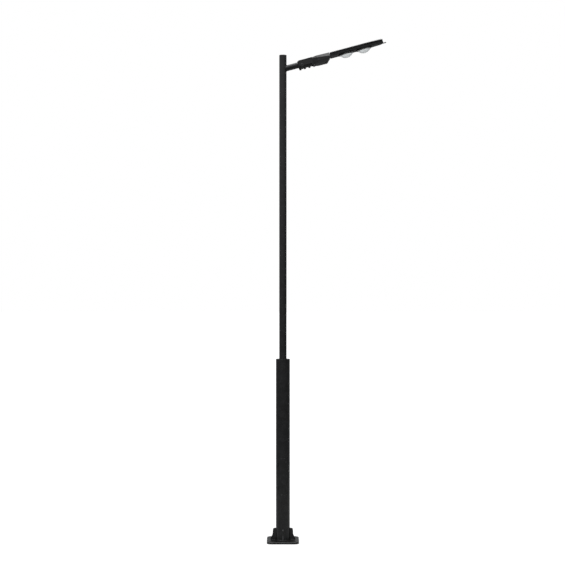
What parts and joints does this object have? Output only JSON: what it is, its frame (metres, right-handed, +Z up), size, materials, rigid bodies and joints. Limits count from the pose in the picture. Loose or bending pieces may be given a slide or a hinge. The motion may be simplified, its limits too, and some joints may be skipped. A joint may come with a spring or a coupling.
{
  "type": "column street light",
  "caption": "Stepped steel column on a gusseted base plate with an access door, carrying a short tilted arm and a slim finned LED head with domed glass lenses.",
  "frame": {"origin": "centre of the base plate's underside, where it stands on its foundation", "axes": "+Z up the column, +X the way the arm points, -Y towards the access door"},
  "size_m": [0.9809, 0.262, 4.1286],
  "materials": {
    "column_paint": "black powder coat, fine texture",
    "head_paint": "black powder coat on die-cast aluminium",
    "galvanised_steel": "dull zinc",
    "bright_steel": "stainless",
    "dark_steel": "blackened",
    "earth_brass": "plain",
    "seal_rubber": "matte",
    "board_plastic": "laminate board",
    "dark_plastic": "moulded",
    "pale_plastic": "moulded",
    "switch_plastic": "moulded",
    "cable_sheath": "extruded sheath",
    "driver_case": "satin",
    "led_board": "phosphor yellow on white",
    "reflector_bright": "mirror anodised",
    "lens_glass": "clear"
  },
  "bodies": {
    "column": {"base_plate": "column_paint", "base_gussets": "column_paint", "lower_tube": "column_paint", "shoulder_ring": "column_paint", "centring_ring": "galvanised_steel", "upper_tube": "column_paint", "pole_cap": "column_paint", "arm_tube": "column_paint", "door_frame": "galvanised_steel", "door_gasket": "seal_rubber", "hinge_fixed_leaves": "column_paint", "door_hinge_pins": "bright_steel", "backboard": "board_plastic", "backboard_spacers": "galvanised_steel", "backboard_screws": "bright_steel", "cutout_box": "dark_plastic", "breaker": "pale_plastic", "cutout_glands": "dark_plastic", "earth_stud": "earth_brass", "supply_cable": "cable_sheath", "cable_connector": "dark_plastic", "spigot_sleeve": "head_paint", "clamp_bolts": "dark_steel", "pivot_bolts": "dark_steel", "pivot_washers": "dark_steel"},
    "door": {"access_door": "column_paint", "hinge_door_leaves": "column_paint", "door_lock_body": "dark_steel"},
    "door_lock": {"door_lock_cam": "dark_steel"},
    "switch": {"breaker_lever": "switch_plastic"},
    "head": {"driver_housing": "head_paint", "cover_gasket": "seal_rubber", "cover_hinge_pins": "bright_steel", "latch_keeper": "galvanised_steel", "led_driver": "driver_case", "driver_screws": "bright_steel", "terminal_block": "pale_plastic", "surge_protector": "pale_plastic", "head_gland": "dark_plastic", "breather_vent": "dark_plastic", "heat_sink": "head_paint", "sink_screws": "bright_steel", "lens_frame": "head_paint", "frame_screws": "dark_steel", "led_modules": "led_board", "reflectors": "reflector_bright", "glass_lenses": "lens_glass", "lens_gaskets": "seal_rubber", "bezel_rings": "head_paint", "bezel_screws": "dark_steel"},
    "cover": {"driver_cover": "head_paint"},
    "latch": {"cover_latch": "dark_plastic"}
  },
  "joints": [
    {"name": "door_hinge", "type": "hinge", "parent": "column", "child": "door", "pos_m": [-0.04365, -0.04239, 0.54], "axis": [0, 0, -1], "range_deg": [0, 115]},
    {"name": "lock_turn", "type": "hinge", "parent": "door", "child": "door_lock", "pos_m": [0.02505, -0.05137, 0.66], "axis": [0.4384, -0.8988, 0], "range_deg": [0, 90]},
    {"name": "switch_toggle", "type": "hinge", "parent": "column", "child": "switch", "pos_m": [0, -0.027, 0.521], "axis": [1, 0, 0], "range_deg": [0, 50]},
    {"name": "head_tilt", "type": "hinge", "parent": "column", "child": "head", "pos_m": [0.15843, 0, 3.91042], "axis": [0, -1, 0], "range_deg": [-15, 15]},
    {"name": "cover_hinge", "type": "hinge", "parent": "head", "child": "cover", "pos_m": [0.25795, 0, 3.91379], "axis": [0, 1, 0], "range_deg": [0, 85]},
    {"name": "latch_turn", "type": "hinge", "parent": "cover", "child": "latch", "pos_m": [0.35963, 0, 3.94], "axis": [-0.2588, 0, 0.9659], "range_deg": [0, 90]}
  ]
}
